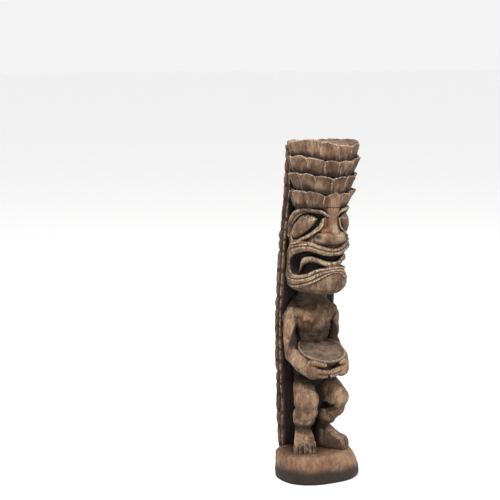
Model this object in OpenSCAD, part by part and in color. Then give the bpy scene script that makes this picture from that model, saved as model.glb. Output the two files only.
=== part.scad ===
// Carved wooden tiki figure: a standing figure with a four-tier fluted headdress,
// holding a bowl in front of its belly, pegged and screwed to a notched back
// board and an oval plinth.
//
// Frame: origin at the centre of the felt underside, +Z up, the figure faces -Y
// and its right hand is on the -X side. All sizes are millimetres.

/* [Whole figure] */
// Height from the felt underside to the middle of the sawn top
total_h = 703; // [695:1:712]
// Front face of the back board, where head, torso and tiers end
board_face_y = 40; // [36:1:44]

/* [Plinth] */
// Half width of the oval plinth at its foot
plinth_a = 90; // [84:1:96]
// Half depth of the oval plinth at its foot
plinth_b = 72; // [68:1:78]
// Height of the flat top that the feet stand on
plinth_top = 58; // [54:1:62]
// Thickness of the felt pad under the plinth
felt_t = 2; // [1:0.5:3]

/* [Back board] */
// Thickness of the back board
board_t = 23; // [18:1:28]
// Depth of the mortise that holds the foot of the board
mortise_d = 7; // [4:1:10]
// Height of one scallop along the edges of the board
scallop_h = 26; // [20:0.5:40]
// Depth of one scallop
scallop_d = 3.2; // [2:0.1:5]

/* [Head] */
// Height of the flat underside of the jaw
jaw_z = 402; // [398:1:406]
// Height where the lowest tier of the headdress starts
crown_z = 573; // [568:1:578]
// Half width of the head at the eyes
head_a = 60; // [56:1:64]

/* [Headdress] */
// Number of gouged flutes round each tier
flutes = 12; // [10:1:16]
// Height of the joint above tier 4
tier4_rim = 603; // [599:1:607]
// Height of the joint above tier 3
tier3_rim = 637; // [633:1:641]
// Height of the joint above tier 2
tier2_rim = 671; // [667:1:675]

/* [Bowl] */
// Radius of the bowl at its rim
bowl_r = 48; // [42:1:52]
// Height of the middle of the rim
bowl_z = 276; // [270:1:282]
// Forward tilt of the bowl
bowl_tilt = 20; // [6:1:24]

/* [Pegs and screws] */
// Diameter of the peg through the headdress
crown_peg_d = 16; // [12:1:20]
// Diameter of the pegs in neck and bowl
neck_peg_d = 14; // [10:1:16]
// Diameter of the shoulder, hip and ankle pegs
limb_peg_d = 10; // [8:1:12]
// Diameter of the wood screws
screw_d = 4.5; // [3.5:0.5:5]

/* [Hidden] */

// Radial clearance between a peg or screw and its bore
fit = 0.05;
board_foot_z = plinth_top - mortise_d;
head_y = -5;
ankle_z = 112;
hip_z = 196;

wood = "#8a6b50";
pale_wood = "#9b7f63";
dark_wood = "#5b483a";

// ---------------------------------------------------------------- helpers

function lerp(a, b, t) = a + (b - a) * t;

// Value at x of the broken line through the points [x, value]
function along(pts, x) = lookup(x, pts);

function signed_pow(v, p) = sign(v) * pow(abs(v), p);

// One point of a superellipse with half axes a and b and exponent n
function oval(a, b, n, t) = [
    a * signed_pow(cos(t), 2 / n),
    b * signed_pow(sin(t), 2 / n)
];

function unit(v) = v / norm(v);

// Closed solid through rings of points. The rings run counter-clockwise seen
// from above, from the lowest ring to the highest.
module skin(rings) {
    n = len(rings[0]);
    m = len(rings);
    walls = [
        for (j = [0:m - 2], i = [0:n - 1])
            let (a = j * n + i, b = j * n + (i + 1) % n)
                each [[a, b + n, b], [a, a + n, b + n]]
    ];
    bottom = [for (i = [0:n - 1]) i];
    top = [for (i = [n - 1:-1:0]) (m - 1) * n + i];
    polyhedron([for (r = rings) each r], concat([bottom], walls, [top]));
}

// Round bar between points, with a radius at each point
module bar(path, radii, sides = 16) {
    for (i = [0:len(path) - 2])
        hull() {
            translate(path[i]) sphere(r = radii[i], $fn = sides);
            translate(path[i + 1]) sphere(r = radii[i + 1], $fn = sides);
        }
}

// Direction of a path at its point i
function heading(path, i) =
    unit(path[min(i + 1, len(path) - 1)] - path[max(i - 1, 0)]);

// Ring of a tube, square to the heading
function tube_ring(at, dir, r, up, sides) =
    let (side = unit(cross(up, dir)), over = cross(dir, side))
        [for (k = [0:sides - 1]) at + r * (cos(360 * k / sides) * side + sin(360 * k / sides) * over)];

// Tube swept along a path with a radius at each point and rounded ends
module tube(path, radii, up = [0, 0, 1], sides = 8) {
    last = len(path) - 1;
    first_dir = heading(path, 0);
    last_dir = heading(path, last);
    nose_steps = [[0.9, 0.4], [0.5, 0.85]];
    skin(concat(
        [for (n = nose_steps) tube_ring(path[0] - n[0] * radii[0] * first_dir, first_dir, n[1] * radii[0], up, sides)],
        [for (i = [0:last]) tube_ring(path[i], heading(path, i), radii[i], up, sides)],
        [
            for (k = [1:-1:0])
                let (n = nose_steps[k])
                    tube_ring(path[last] + n[0] * radii[last] * last_dir, last_dir, n[1] * radii[last], up, sides)
        ]
    ));
}

// Raised carved ridge: a thin tube whose ends run out into the surface
module ridge(path, r) {
    last = len(path) - 1;
    tube(path, [for (i = [0:last]) i == 0 || i == last ? 0.7 * r : r], [0, -1, 0.01], 6);
}

// Turns a union of carved forms into one plain solid of the same size
module carved() {
    resize([0, 0, 0]) children();
}

// Everything behind the front face of the back board
module behind_board_face() {
    translate([-150, board_face_y, 0]) cube([300, 100, 800]);
}

// Peg with chamfered ends along +Z
module peg(d, length) {
    r = d / 2 - fit;
    chamfer = 1.5;
    rotate_extrude($fn = 32)
        polygon([
            [0, 0], [r - chamfer, 0], [r, chamfer],
            [r, length - chamfer], [r - chamfer, length], [0, length]
        ]);
}

// Round hole along +Z, a little longer than the peg it holds
module bore(d, length) {
    translate([0, 0, -1]) cylinder(d = d, h = length + 2, $fn = 32);
}

// Countersunk wood screw along +Z with its head at the origin
module screw(length) {
    r = screw_d / 2 - fit;
    head_r = screw_d - fit;
    rotate_extrude($fn = 24)
        polygon([
            [0, 0], [head_r, 0], [r, screw_d / 2], [r, length - 6], [0, length]
        ]);
}

// The hole for a screw: countersink, shank and a free space under the point
module screw_hole(length) {
    rotate_extrude($fn = 24)
        polygon([
            [0, -8], [screw_d, -8], [screw_d, 0],
            [screw_d / 2, screw_d / 2], [screw_d / 2, length + 1], [0, length + 1]
        ]);
}

// ---------------------------------------------------------------- places

crown_peg_foot = [0, -8, 545];
crown_peg_len = 142;
neck_peg_foot = [0, 12, 372];
neck_peg_len = 62;
bowl_peg_len = 44;
hip_peg_foot = [31, 10, 180];
hip_peg_len = 40;
ankle_peg_foot = [25, 9, 92];
ankle_peg_len = 40;
shoulder_peg_foot = [27, 22, 338];
shoulder_peg_len = 32;
foot_screw_foot = [30, 0, felt_t + 8];
foot_screw_len = 78;
board_screw_z = [225, 330, 460, 540];
board_screw_len = 50;

module at_hips() {
    for (s = [-1, 1])
        translate([s * hip_peg_foot.x, hip_peg_foot.y, hip_peg_foot.z]) children();
}

module at_ankles() {
    for (s = [-1, 1])
        translate([s * ankle_peg_foot.x, ankle_peg_foot.y, ankle_peg_foot.z]) children();
}

module at_shoulders() {
    for (s = [-1, 1])
        translate([s * shoulder_peg_foot.x, shoulder_peg_foot.y, shoulder_peg_foot.z])
            rotate([0, s * 90, 0]) children();
}

module at_foot_screws() {
    for (s = [-1, 1])
        translate([s * foot_screw_foot.x, foot_screw_foot.y, foot_screw_foot.z]) children();
}

module at_board_screws() {
    for (z = board_screw_z)
        translate([0, board_face_y + board_t, z]) rotate([90, 0, 0]) children();
}

module at_bowl_peg() {
    translate([0, 14, 246]) rotate([90, 0, 0]) children();
}

// ---------------------------------------------------------------- plinth

// Share of the foot size at each height, for the rounded foot and shoulder
plinth_profile = [[2, 0.96], [6, 0.99], [11, 1], [24, 0.985], [35, 0.965], [44, 0.94], [51, 0.905],
    [56, 0.86], [58, 0.82]];

module plinth_blank() {
    skin([
        for (p = plinth_profile)
            let (z = felt_t + (p[0] - 2) * (plinth_top - felt_t) / 56)
                [for (t = [0:7.5:352.5]) [each p[1] * oval(plinth_a, plinth_b, 2.4, t), z]]
    ]);
}

module felt_base() {
    color("#3a3a38")
        linear_extrude(felt_t)
            polygon([for (t = [0:7.5:352.5]) 0.93 * oval(plinth_a, plinth_b, 2.4, t)]);
}

module plinth() {
    color(dark_wood)
        difference() {
            plinth_blank();
            board_mortise();
            at_foot_screws() screw_hole(foot_screw_len);
        }
}

// ---------------------------------------------------------------- back board

// Half width of the board at each height
board_outline = [[50, 58], [100, 61], [150, 62], [200, 65], [275, 67], [330, 67],
    [400, 64], [500, 58], [560, 51], [590, 47], [640, 45], [700, 42]];

function board_half(z) =
    along(board_outline, z) - scallop_d * (1 - abs(sin(180 * (z - 50) / scallop_h)));

// Section of the board: chamfered corners and a groove down each narrow edge
function board_ring(z) =
    let (
        w = board_half(z),
        f = board_face_y,
        b = board_face_y + board_t,
        mid = (f + b) / 2,
        right = [[w - 2, f], [w, f + 3], [w, f + 7], [w - 8, mid], [w, b - 7], [w, b - 3], [w - 3, b]],
        left = [for (i = [len(right) - 1:-1:0]) [-right[i].x, right[i].y]]
    )
    [for (p = concat(right, left)) [p.x, p.y, z]];

module board_mortise() {
    w = along(board_outline, board_foot_z) + 1;
    translate([-w, board_face_y, board_foot_z]) cube([2 * w, board_t + 20, 40]);
}

module back_board() {
    board_head_z = total_h - 9;
    steps = 147;
    color(wood)
        difference() {
            skin([for (i = [0:steps]) board_ring(lerp(board_foot_z, board_head_z, i / steps))]);
            at_board_screws() screw_hole(board_screw_len);
        }
}

// ---------------------------------------------------------------- torso

// Height above the hips, half width and front of the torso sections
torso_sections = [
    [0, 38, -4], [10, 40, -8], [40, 40, -8], [70, 38, 0], [86, 37, 5], [100, 37, 3],
    [114, 38, -2], [130, 42, -6], [146, 45, -6], [160, 45, -2], [170, 38, 2], [178, 30, -4],
    [190, 29, -12], [206, 30, -16]
];

function torso_ring(s) =
    let (mid = 22, back = board_face_y + 6)
        [
            for (t = [0:15:345])
                let (p = oval(s[1], 1, 2.4, t))
                    [p.x, p.y < 0 ? mid + p.y * (mid - s[2]) : mid + p.y * (back - mid), hip_z + s[0]]
        ];

module torso_blank() {
    difference() {
        union() {
            skin([for (s = torso_sections) torso_ring(s)]);
            for (s = [-1, 1]) {
                // Chest muscles
                translate([s * 17, 4, 340]) scale([1.2, 0.93, 1]) sphere(r = 15, $fn = 20);
                // Shoulder caps
                translate([s * 40, 22, 350]) scale([1, 1.1, 1]) sphere(r = 15, $fn = 20);
            }
        }
        behind_board_face();
    }
}

module torso() {
    color(dark_wood)
        difference() {
            carved() torso_blank();
            at_hips() bore(limb_peg_d, hip_peg_len);
            at_shoulders() bore(limb_peg_d, shoulder_peg_len);
            translate(neck_peg_foot) bore(neck_peg_d, neck_peg_len);
            at_bowl_peg() bore(neck_peg_d, bowl_peg_len);
            at_board_screws() screw_hole(board_screw_len);
        }
}

// ---------------------------------------------------------------- head

// Height above the jaw, half width, and depth in front of and behind the head's middle
head_sections = [
    [0, head_a - 9, 62, 90], [5, head_a - 3, 68, 92], [23, head_a, 70, 92], [48, head_a - 2, 66, 80],
    [78, head_a - 1, 62, 76], [103, head_a, 55, 76], [128, head_a, 51, 76], [153, head_a, 52, 76],
    [crown_z - jaw_z, head_a, 55, 72]
];

// Value in one column of the head sections at a height
function head_size(z, column) = lookup(z - jaw_z, [for (s = head_sections) [s[0], s[column]]]);

// Distance of the face from the head's middle, at an angle from straight ahead
function face_r(angle, z) =
    let (
        n = 1.75,
        ahead = cos(angle),
        depth = head_size(z, ahead > 0 ? 2 : 3)
    )
    pow(pow(abs(sin(angle)) / head_size(z, 1), n) + pow(abs(ahead) / depth, n), -1 / n);

// Point on the face, moved outwards by out; positive angles are on the +X side
function face(angle, z, out = 0) =
    let (r = face_r(angle, z) + out)
        [r * sin(angle), head_y - r * cos(angle), z];

module head_core() {
    skin([
        for (s = head_sections)
            [for (a = [0:10:350]) face(a, jaw_z + s[0])]
    ]);
}

// Brow, eye and lips of one side; s is -1 for the figure's right
module face_side(s) {
    brow = [[8, 553], [22, 566], [40, 571], [58, 562], [74, 544], [88, 522]];
    upper_lip = [[0, 483], [22, 490], [45, 494], [68, 488], [86, 474], [94, 458]];
    lower_lip = [[94, 458], [86, 442], [66, 433], [45, 434], [22, 443], [0, 449]];
    lip_2 = [[88, 434], [66, 424], [45, 425], [22, 434], [0, 440]];
    lip_3 = [[84, 424], [66, 412], [45, 413], [22, 423], [0, 431]];
    ridge([for (p = brow) face(s * p[0], p[1], 0)], 5);
    for (line = [upper_lip, lower_lip])
        ridge([for (p = line) face(s * p[0], p[1], 0)], 5);
    for (line = [lip_2, lip_3])
        ridge([for (p = line) face(s * p[0], p[1], -1)], 4);
    translate(face(s * 48, 531, -9))
        rotate([0, s * -32, s * 48]) scale([1.55, 0.9, 1]) sphere(r = 17, $fn = 20);
    ridge([for (p = [[14, 545], [30, 524], [50, 508], [76, 500]]) face(s * p[0], p[1], 0)], 4);
}

module nose() {
    hull() {
        translate(face(0, 568, -5)) sphere(r = 11, $fn = 16);
        translate(face(0, 535, -5)) sphere(r = 10, $fn = 16);
    }
    hull() {
        translate(face(0, 535, -5)) sphere(r = 10, $fn = 16);
        translate(face(0, 508, -4)) scale([1.5, 1, 0.8]) sphere(r = 17, $fn = 20);
    }
}

// The two deep openings between the lips
module mouth_gap(s) {
    tongue_z = 461;
    for (z = [tongue_z - 10, tongue_z + 10])
        hull() {
            translate(face(s * 20, lerp(z, 466, 0.5), 4)) sphere(r = 3, $fn = 8);
            translate(face(s * 50, z, 5)) sphere(r = 9, $fn = 12);
            translate(face(s * 76, lerp(z, 460, 0.3), 4)) sphere(r = 6, $fn = 12);
        }
}

module head_blank() {
    difference() {
        union() {
            head_core();
            nose();
            for (s = [-1, 1]) face_side(s);
        }
        for (s = [-1, 1]) mouth_gap(s);
        behind_board_face();
        translate([-100, -150, jaw_z - 20]) cube([200, 250, 20]);
        translate([-100, -150, crown_z]) cube([200, 250, 60]);
    }
}

module head() {
    color(wood)
        difference() {
            carved() head_blank();
            translate(neck_peg_foot) bore(neck_peg_d, neck_peg_len);
            translate(crown_peg_foot) bore(crown_peg_d, crown_peg_len);
            at_board_screws() screw_hole(board_screw_len);
        }
}

// ---------------------------------------------------------------- headdress

// Outline of a tier: the wide front half is an oval, the back half narrows
// towards the board. Cusps stand between hollow gouged flutes, from the angle turn.
function tier_point(angle, turn, half, front, flute_d) =
    let (
        mid = -16,
        n = 2.1,
        ahead = cos(angle),
        depth = ahead > 0 ? front + mid : 78,
        width = ahead > 0 ? half : half * (1 + 0.22 * ahead),
        r = pow(pow(abs(sin(angle)) / width, n) + pow(abs(ahead) / depth, n), -1 / n),
        cusp = 1 - abs(sin(flutes * (angle - turn) / 2)),
        cut = r - flute_d * (1 - pow(cusp, 1.6))
    )
    [cut * sin(angle), mid - cut * cos(angle)];

// One flared tier from z0 up to z1. half and front are its size at the rim,
// slope is the fall of its sawn top towards the figure's left.
module tier(z0, z1, half, front, foot, turn, slope = 0) {
    levels = [[0, foot, 0.25], [0.35, lerp(foot, 1, 0.3), 0.7], [0.75, 0.97, 1], [0.9, 1, 1], [1, 0.985, 0.8]];
    step = 360 / (flutes * 6);
    color(pale_wood)
        difference() {
            carved()
                difference() {
                    skin([
                        for (l = levels)
                            [
                                for (a = [0:step:359.9])
                                    let (
                                        p = tier_point(a + turn, turn, half * l[1], front * l[1], 6 * l[2]),
                                        z = lerp(z0, z1, l[0]) - l[0] * slope * p.x
                                    )
                                    [p.x, p.y, z]
                            ]
                    ]);
                    behind_board_face();
                }
            translate(crown_peg_foot) bore(crown_peg_d, crown_peg_len);
        }
}

module headdress_tier_4() {
    tier(crown_z, tier4_rim, 71, 74, 0.82, 3.5);
}

module headdress_tier_3() {
    tier(tier4_rim, tier3_rim, 74, 80, 0.82, -11.5);
}

module headdress_tier_2() {
    tier(tier3_rim, tier2_rim, 78, 85, 0.82, 3);
}

module headdress_tier_1() {
    tier(tier2_rim, total_h, 78, 86, 0.88, -3.5, 0.075);
}

// ---------------------------------------------------------------- bowl

module bowl_blank() {
    wall = [[0, -46], [27, -46], [33, -38], [41, -20], [44, -9], [46.5, -8], [bowl_r, -4],
        [bowl_r, -1], [bowl_r - 2, 0], [bowl_r - 4, -1.5], [0, -1.5]];
    translate([0, -20, bowl_z]) rotate([bowl_tilt, 0, 0])
        rotate_extrude($fn = 48) polygon(wall);
}

module bowl() {
    color(pale_wood)
        difference() {
            carved()
                difference() {
                    bowl_blank();
                    torso_blank();
                }
            at_bowl_peg() bore(neck_peg_d, bowl_peg_len);
        }
}

// ---------------------------------------------------------------- arms

// Arm of one side with three stacked fingers; s is -1 for the figure's right
module arm_blank(s) {
    limb = [[50, 23, 348], [53, 22, 318], [53, 19, 285], [52, 9, 262], [47, -14, 250], [40, -30, 242],
        [32, -40, 237]];
    tube([for (p = limb) [s * p.x, p.y, p.z]], [13, 13, 13, 14, 16, 17, 15], [s, 0.2, 0.1], 14);
    for (k = [0:2])
        tube([[s * 32, -42, 252 - 11 * k], [s * 18, -54, 250 - 11 * k], [s * 6.4, -57, 249 - 11 * k]],
            [6.4, 6.4, 5.5]);
}

module arm(s) {
    color(pale_wood)
        difference() {
            carved()
                difference() {
                    arm_blank(s);
                    torso_blank();
                    bowl_blank();
                    behind_board_face();
                }
            at_shoulders() bore(limb_peg_d, shoulder_peg_len);
        }
}

module arm_right() {
    arm(-1);
}

module arm_left() {
    arm(1);
}

// ---------------------------------------------------------------- legs and feet

module leg_blank(s) {
    bar([[s * 28, 12, 206], [s * 36, -19, 173]], [22, 24.5]);
    bar([[s * 36, -19, 173], [s * 34, -12, 151]], [24.5, 20.5]);
    bar([[s * 34, -12, 151], [s * 30, -3, 131]], [20.5, 22]);
    bar([[s * 30, -3, 131], [s * 26, 4, 116]], [22, 16]);
    bar([[s * 26, 4, 116], [s * 25, 8, 100]], [16, 15]);
}

module leg(s) {
    color(pale_wood)
        difference() {
            carved()
                difference() {
                    leg_blank(s);
                    torso_blank();
                    behind_board_face();
                    translate([-100, -100, ankle_z - 60]) cube([200, 200, 60]);
                }
            at_hips() bore(limb_peg_d, hip_peg_len);
            at_ankles() bore(limb_peg_d, ankle_peg_len);
        }
}

module leg_right() {
    leg(-1);
}

module leg_left() {
    leg(1);
}

// Heel place, outward turn, length and gap of the toes of the right and left foot
right_foot = [[-26, 11], -22, 46, 9.2];
left_foot = [[23, 11], 41, 53, 7.8];

// Foot of one side: heel, instep and five toes, turned outwards
module foot_blank(s) {
    place = s < 0 ? right_foot : left_foot;
    toe_y = -place[2];
    gap = place[3];
    floor_z = plinth_top;
    translate(place[0]) rotate([0, 0, place[1]]) {
        hull() {
            translate([0, 0, 100]) sphere(r = 15.5, $fn = 20);
            translate([0, 2, floor_z + 8]) sphere(r = 15, $fn = 20);
            translate([0, toe_y + 20, floor_z + 10]) scale([1.2, 1, 1]) sphere(r = 14, $fn = 20);
        }
        translate([0, 0, 98]) cylinder(r = 15.5, h = 14, $fn = 20);
        for (k = [-2:2])
            bar([[k * gap * 0.85, toe_y + 22, floor_z + 10], [k * gap, toe_y + 6.5 + abs(k) * 1.2, floor_z + 8]],
                [8, 6.4]);
    }
}

module foot(s) {
    color(pale_wood)
        difference() {
            carved()
                difference() {
                    foot_blank(s);
                    behind_board_face();
                    translate([-100, -100, ankle_z]) cube([200, 200, 60]);
                    translate([-100, -100, plinth_top - 60]) cube([200, 200, 60]);
                }
            at_ankles() bore(limb_peg_d, ankle_peg_len);
            at_foot_screws() screw_hole(foot_screw_len);
        }
}

module foot_right() {
    foot(-1);
}

module foot_left() {
    foot(1);
}

// ---------------------------------------------------------------- pegs and screws

module crown_peg() {
    color("#c9a878") translate(crown_peg_foot) peg(crown_peg_d, crown_peg_len);
}

module neck_peg() {
    color("#c9a878") translate(neck_peg_foot) peg(neck_peg_d, neck_peg_len);
}

module bowl_peg() {
    color("#c9a878") at_bowl_peg() peg(neck_peg_d, bowl_peg_len);
}

module shoulder_pegs() {
    color("#c9a878") at_shoulders() peg(limb_peg_d, shoulder_peg_len);
}

module hip_pegs() {
    color("#c9a878") at_hips() peg(limb_peg_d, hip_peg_len);
}

module ankle_pegs() {
    color("#c9a878") at_ankles() peg(limb_peg_d, ankle_peg_len);
}

module foot_screws() {
    color("silver") at_foot_screws() screw(foot_screw_len);
}

module board_screws() {
    color("silver") at_board_screws() screw(board_screw_len);
}

felt_base();
plinth();
back_board();
torso();
head();
headdress_tier_1();
headdress_tier_2();
headdress_tier_3();
headdress_tier_4();
arm_right();
arm_left();
bowl();
leg_right();
leg_left();
foot_right();
foot_left();
crown_peg();
neck_peg();
bowl_peg();
shoulder_pegs();
hip_pegs();
ankle_pegs();
foot_screws();
board_screws();
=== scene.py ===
import math

import bpy
import numpy as np
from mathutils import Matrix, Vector


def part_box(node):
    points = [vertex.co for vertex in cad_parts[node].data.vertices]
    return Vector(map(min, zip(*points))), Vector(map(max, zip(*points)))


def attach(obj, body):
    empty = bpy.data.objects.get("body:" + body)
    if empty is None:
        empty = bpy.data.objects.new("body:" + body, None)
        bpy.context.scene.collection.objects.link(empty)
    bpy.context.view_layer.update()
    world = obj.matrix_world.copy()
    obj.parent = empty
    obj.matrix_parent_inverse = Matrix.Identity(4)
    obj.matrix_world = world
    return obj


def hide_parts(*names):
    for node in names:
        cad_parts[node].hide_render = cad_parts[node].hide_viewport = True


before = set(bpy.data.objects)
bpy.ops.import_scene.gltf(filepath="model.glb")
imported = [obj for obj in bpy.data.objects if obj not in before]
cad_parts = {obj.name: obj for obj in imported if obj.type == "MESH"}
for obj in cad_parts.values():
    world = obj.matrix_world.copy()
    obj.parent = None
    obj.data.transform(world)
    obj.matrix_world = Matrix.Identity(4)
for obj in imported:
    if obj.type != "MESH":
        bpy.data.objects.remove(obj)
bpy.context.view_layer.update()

# Carved wooden tiki figure. Every wooden piece is carved here as a distance field
# on a grid, in millimetres, around the place its CAD solid holds, then meshed.

MM = 0.001
# Distance in mm given to points that no shape is near, and how far off a shape still counts
FAR = 60.0
NEAR = 14
# Room in mm round a CAD node's box for its carved piece
MARGIN = 8

# Grid steps in mm: fine for the face and hands, coarser for plain surfaces
FINE = 1.1
MEDIUM = 1.3
COARSE = 1.7


def box_mm(node):
    """A CAD node's lowest and highest corner in millimetres."""
    low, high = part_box(node)
    return np.array(low) / MM, np.array(high) / MM


def placed(name, data):
    """A new object in the scene."""
    made = bpy.data.objects.new(name, data)
    bpy.context.scene.collection.objects.link(made)
    return made


_, BOARD_FACE, BOARD_FOOT = box_mm("back_board")[0]
_, BOARD_BACK, BOARD_TOP = box_mm("back_board")[1]
PLINTH_FOOT = box_mm("plinth")[0][2]
PLINTH_TOP = box_mm("plinth")[1][2]
PLINTH_HALF = box_mm("plinth")[1][:2]
HIP = box_mm("torso")[0][2]
JAW = box_mm("head")[0][2]
CROWN = box_mm("head")[1][2]
ANKLE = box_mm("foot_right")[1][2]
# Place in y of the middle line that the face is laid out round
HEAD_Y = -5.0


# ---------------- noise

CORNERS = [(i, j, k) for i in (0, 1) for j in (0, 1) for k in (0, 1)]
LATTICE = np.random.RandomState(7).rand(4096, 4).astype(np.float32)


def lattice_index(i, j, k, seed):
    """The row of LATTICE that belongs to a cell."""
    mixed = i * 73856093 ^ j * 19349663 ^ k * 83492791 ^ seed * 2654435
    return (mixed ^ (mixed >> 13)) & 4095


def lattice_place(x, y, z, size, shift=0.0):
    """Places on a lattice with cells of a size, one number or three, and the cells there."""
    sizes = (size, size, size) if np.isscalar(size) else size
    place = [a / b for a, b in zip((x, y, z), sizes)]
    return place, [np.floor(a - shift).astype(np.int64) for a in place]


def noise(x, y, z, size, seed=0):
    """Smooth noise from -1 to 1 with features about size mm across."""
    place, cell = lattice_place(x, y, z, size)
    t = [a - b for a, b in zip(place, cell)]
    t = [a * a * (3 - 2 * a) for a in t]
    total = 0
    for corner in CORNERS:
        i, j, k = (a + b for a, b in zip(cell, corner))
        u, v, w = (a if b else 1 - a for a, b in zip(t, corner))
        total = total + LATTICE[lattice_index(i, j, k, seed), 3] * (u * v * w)
    return (2 * total - 1).astype(np.float32)


def scoops(x, y, z, size, seed=0):
    """Gouge marks: 0 at the middle of each scoop, rising to about 1 where two scoops meet."""
    place, cell = lattice_place(x, y, z, size, 0.5)
    nearest = np.full(len(x), 9.0, np.float32)
    for corner in CORNERS:
        there = [a + b for a, b in zip(cell, corner)]
        shift = LATTICE[lattice_index(*there, seed)]
        du, dv, dw = (there[n] + 0.5 + 0.7 * (shift[:, n] - 0.5) - place[n] for n in range(3))
        nearest = np.minimum(nearest, du * du + dv * dv + dw * dw)
    return np.minimum(nearest * 1.6, 1.2)


# ---------------- shapes

def soft_min(a, b, k):
    """The smaller of two distances, rounded over a width of k where they meet."""
    k = np.maximum(k, 1e-3)
    h = np.clip(0.5 + 0.5 * (b - a) / k, 0, 1)
    return b + (a - b) * h - k * h * (1 - h)


def smoothstep(low, high, value):
    """0 up to low, 1 from high, and smooth between; low may be above high."""
    t = np.clip((value - low) / (high - low), 0, 1)
    return t * t * (3 - 2 * t)


def bell(value, middle, width):
    return np.exp(-((value - middle) / width) ** 2)


def oval(across, ahead, power):
    """1 on an outline with half widths of 1, which is squarer than a circle where power is over 2."""
    return (np.abs(across) ** power + np.abs(ahead) ** power) ** (1 / power)


# A shape is the lowest and highest corner of its box, and its distance function

def ball(centre, radii):
    """An ellipsoid with its radii along x, y and z."""
    centre, radii = np.array(centre, np.float32), np.array(radii, np.float32)
    reach = max(radii)

    def distance(x, y, z):
        inner = outer = 0
        for along, middle, radius in zip((x, y, z), centre, radii):
            inner = inner + ((along - middle) / radius) ** 2
            outer = outer + ((along - middle) / radius ** 2) ** 2
        inner, outer = np.sqrt(inner), np.sqrt(outer)
        return inner * (inner - 1) / np.maximum(outer, 1e-6)

    return centre - reach, centre + reach, distance


def curved(points, values, steps=4):
    """Points and values along a smooth curve through the given ones."""
    both = np.column_stack([points, values]).astype(np.float32)
    both = np.vstack([2 * both[0] - both[1], both, 2 * both[-1] - both[-2]])
    out = []
    for a, b, c, d in zip(both, both[1:], both[2:], both[3:]):
        for t in np.arange(steps) / steps:
            out.append(0.5 * (2 * b + (c - a) * t + (2 * a - 5 * b + 4 * c - d) * t * t
                              + (3 * b - a - 3 * c + d) * t ** 3))
    out.append(both[-2])
    out = np.array(out, np.float32)
    return out[:, :3], out[:, 3]


def stroke(points, radii):
    """A round bar along a smooth curve, with a radius at each of its points."""
    path, widths = curved(points, radii)
    widths = np.maximum(widths, 0.2)
    reach = widths.max()

    def distance(x, y, z):
        best = np.full(x.shape, 1e3, np.float32)
        for a, b, ra, rb in zip(path, path[1:], widths, widths[1:]):
            ab = b - a
            dx, dy, dz = x - a[0], y - a[1], z - a[2]
            h = np.clip((dx * ab[0] + dy * ab[1] + dz * ab[2]) / max(ab @ ab, 1e-6), 0, 1)
            dx, dy, dz = dx - h * ab[0], dy - h * ab[1], dz - h * ab[2]
            best = np.minimum(best, np.sqrt(dx * dx + dy * dy + dz * dz) - (ra + (rb - ra) * h))
        return best

    return path.min(0) - reach, path.max(0) + reach, distance


class Clay:
    """Points of a grid with their distance to the carved surface, negative inside the wood."""

    def __init__(self, points):
        self.x, self.y, self.z = (np.ascontiguousarray(a) for a in points.T)
        self.d = np.full(len(points), FAR, np.float32)

    def near(self, shape, blend):
        """Numbers of the points that a shape can change, and their distances to it."""
        low, high, distance = shape
        low, high = low - (blend + NEAR), high + (blend + NEAR)
        i = np.flatnonzero(
            (self.x > low[0]) & (self.x < high[0]) & (self.y > low[1])
            & (self.y < high[1]) & (self.z > low[2]) & (self.z < high[2])
        )
        return i, distance(self.x[i], self.y[i], self.z[i])

    def add(self, shape, blend=0.0):
        i, there = self.near(shape, blend)
        self.d[i] = soft_min(self.d[i], there, blend)

    def cut(self, shape, blend=0.0):
        i, there = self.near(shape, blend)
        self.d[i] = -soft_min(-self.d[i], there, blend)

    def remove(self, distance, blend=0.0):
        """Takes away what lies inside a distance given at every point."""
        self.d = -soft_min(-self.d, distance, blend)

    def keep(self, distance, blend=0.0):
        """Keeps only what lies inside a distance given at every point."""
        self.remove(-distance, blend)

    def gouge(self, depth, size, seed, grain, grain_size, grain_seed):
        """Gouge marks of a depth and size, and fine grain, over the whole surface."""
        marks = depth * (scoops(self.x, self.y, self.z, size, seed) - 0.5)
        self.d += marks + grain * noise(self.x, self.y, self.z, grain_size, grain_seed)


# ---------------- meshing

EDGES = [(a, b) for a in CORNERS for b in CORNERS
         if sum(b) - sum(a) == 1 and all(q >= p for p, q in zip(a, b))]
# Grid points along a block: a first, rough look at block middles finds the blocks worth a full one
BLOCK = 4


def window(field, corner):
    """The field seen from one corner of every cell."""
    return field[tuple(slice(c, n - 1 + c) for c, n in zip(corner, field.shape))]


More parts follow.
